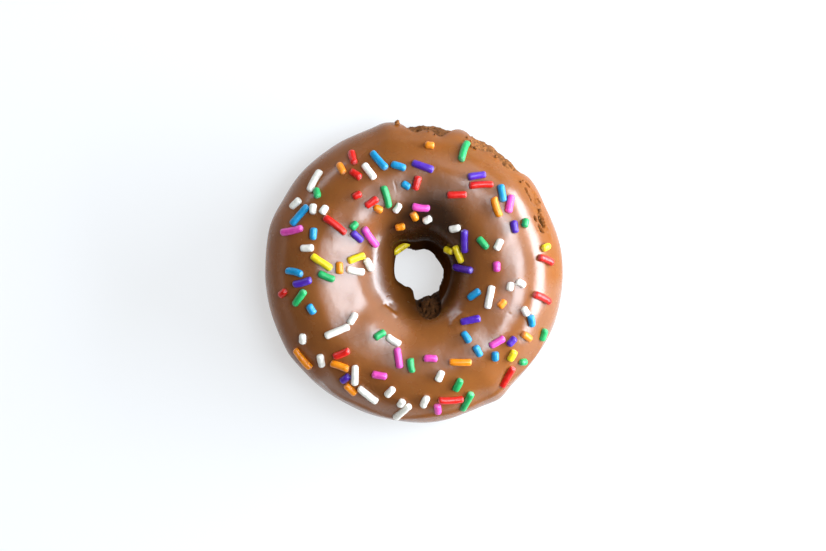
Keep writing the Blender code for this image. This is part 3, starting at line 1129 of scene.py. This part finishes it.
class DOUGHNUT_OT_crumbs(bpy.types.Operator):
    """Drops loose crumbs on and beside the bare places"""

    bl_idname = "doughnut.crumbs"
    bl_label = "Loose crumbs"
    bl_options = {"REGISTER", "UNDO"}

    def execute(self, context):
        deselect_all()
        bpy.ops.mesh.primitive_ico_sphere_add(subdivisions=2, radius=1.0, location=(0.0, 0.0, 0.0))
        model = bpy.context.active_object
        crumbs = []
        for index, (bearing, tube, size) in enumerate(crumb_places()):
            mesh = model.data.copy()
            crumb = bpy.data.objects.new(f"crumb_{index}", mesh)
            context.scene.collection.objects.link(crumb)
            centre = lying_place(bearing, tube) + skin_frame(bearing, tube)[2] * size * 0.4
            for vertex in mesh.vertices:
                ragged = 1.0 + 0.8 * noise.noise(vertex.co * 1.3 + Vector((index * 5.3, 0.0, 0.0)))
                vertex.co = centre + vertex.co * size * ragged
            store(mesh, "hollow", [0.0] * len(mesh.vertices))
            store(mesh, "baked", [0.0] * len(mesh.vertices))
            crumbs.append(crumb)
        bpy.data.objects.remove(model)
        whole = join_pieces(crumbs, "loose_crumbs")
        finish_piece(whole, bpy.data.materials["chocolate_crumb"], "icing")
        return {"FINISHED"}


def soft_light(name, bearing, elevation, distance, width, height, power):
    """A soft rectangle of light that faces the ring from a bearing and an elevation."""
    turn, rise = math.radians(bearing), math.radians(elevation)
    place = Vector((math.sin(turn) * math.cos(rise), math.cos(turn) * math.cos(rise), math.sin(rise)))
    lamp = bpy.data.lights.new(name, "AREA")
    lamp.shape = "RECTANGLE"
    lamp.color = DAYLIGHT
    lamp.size = width
    lamp.size_y = height
    lamp.energy = power
    holder = bpy.data.objects.new(name, lamp)
    bpy.context.scene.collection.objects.link(holder)
    holder.location = place * distance + Vector((0.0, 0.0, CORE_HEIGHT))
    holder.rotation_euler = (-place).to_track_quat("-Z", "Y").to_euler()


class DOUGHNUT_OT_stage(bpy.types.Operator):
    """Sets the plain white floor, the soft lights and the camera straight above"""

    bl_idname = "doughnut.stage"
    bl_label = "Stage"
    bl_options = {"REGISTER", "UNDO"}

    def execute(self, context):
        settings = context.scene.doughnut_stage
        deselect_all()
        bpy.ops.mesh.primitive_plane_add(size=FLOOR_SIZE, location=(0.0, 0.0, 0.0))
        floor = context.active_object
        floor.name = "floor"
        material, shader = new_material("white_floor")
        set_input(material, shader, "Base Color", FLOOR_GREY)
        set_input(material, shader, "Roughness", 0.9)
        set_input(material, shader, "Specular IOR Level", 0.1)
        set_input(material, shader, "Emission Color", (1.0, 1.0, 1.0, 1.0))
        set_input(material, shader, "Emission Strength", settings.floor_glow)
        floor.data.materials.append(material)
        powers = {
            "window": settings.window,
            "skylight": settings.skylight,
            "ceiling": settings.skylight,
            "far_wall": settings.window * FAR_WALL_SHARE,
        }
        for name, place in LIGHTS.items():
            soft_light(name, *place, powers[name])
        world = bpy.data.worlds.new("white_room")
        world.use_nodes = True
        back = world.node_tree.nodes["Background"]
        back.inputs["Color"].default_value = (1.0, 1.0, 1.0, 1.0)
        back.inputs["Strength"].default_value = settings.surround
        context.scene.world = world
        camera = bpy.data.cameras.new("camera")
        camera.sensor_width = SENSOR_WIDTH
        camera.lens = SENSOR_WIDTH * (settings.camera_height - CORE_HEIGHT) / settings.field
        holder = bpy.data.objects.new("camera", camera)
        context.scene.collection.objects.link(holder)
        holder.location = (*CAMERA_SHIFT, settings.camera_height)
        holder.rotation_euler = (0.0, 0.0, 0.0)
        camera.clip_start = 0.01
        context.scene.camera = holder
        context.scene.view_settings.view_transform = "Standard"
        return {"FINISHED"}


class DOUGHNUT_PT_panel(bpy.types.Panel):
    """Lists the doughnut's settings and its steps"""

    bl_idname = "DOUGHNUT_PT_panel"
    bl_label = "Chocolate doughnut"
    bl_space_type = "VIEW_3D"
    bl_region_type = "UI"
    bl_category = "Doughnut"

    def draw(self, context):
        for step, group in STEPS:
            box = self.layout.box()
            if group:
                settings = getattr(context.scene, group)
                for name in settings.bl_rna.properties.keys():
                    if name not in ("rna_type", "name"):
                        box.prop(settings, name)
            box.operator(step.bl_idname)


# Each step, in order, and the group of settings that it reads
STEPS = (
    (DOUGHNUT_OT_cake, "doughnut_cake"),
    (DOUGHNUT_OT_icing, "doughnut_icing"),
    (DOUGHNUT_OT_strands, "doughnut_strands"),
    (DOUGHNUT_OT_crumbs, None),
    (DOUGHNUT_OT_stage, "doughnut_stage"),
)
GROUPS = {
    "doughnut_cake": DoughnutCake,
    "doughnut_icing": DoughnutIcing,
    "doughnut_strands": DoughnutStrands,
    "doughnut_stage": DoughnutStage,
}


def register():
    for group in GROUPS.values():
        bpy.utils.register_class(group)
    for step, _ in STEPS:
        bpy.utils.register_class(step)
    bpy.utils.register_class(DOUGHNUT_PT_panel)
    for name, group in GROUPS.items():
        setattr(bpy.types.Scene, name, bpy.props.PointerProperty(type=group))


def unregister():
    for name in GROUPS:
        delattr(bpy.types.Scene, name)
    bpy.utils.unregister_class(DOUGHNUT_PT_panel)
    for step, _ in reversed(STEPS):
        bpy.utils.unregister_class(step)
    for group in GROUPS.values():
        bpy.utils.unregister_class(group)


def main():
    register()
    bpy.ops.doughnut.cake()
    bpy.ops.doughnut.icing()
    bpy.ops.doughnut.strands()
    bpy.ops.doughnut.crumbs()
    bpy.ops.doughnut.stage()


if __name__ == "__main__":
    main()
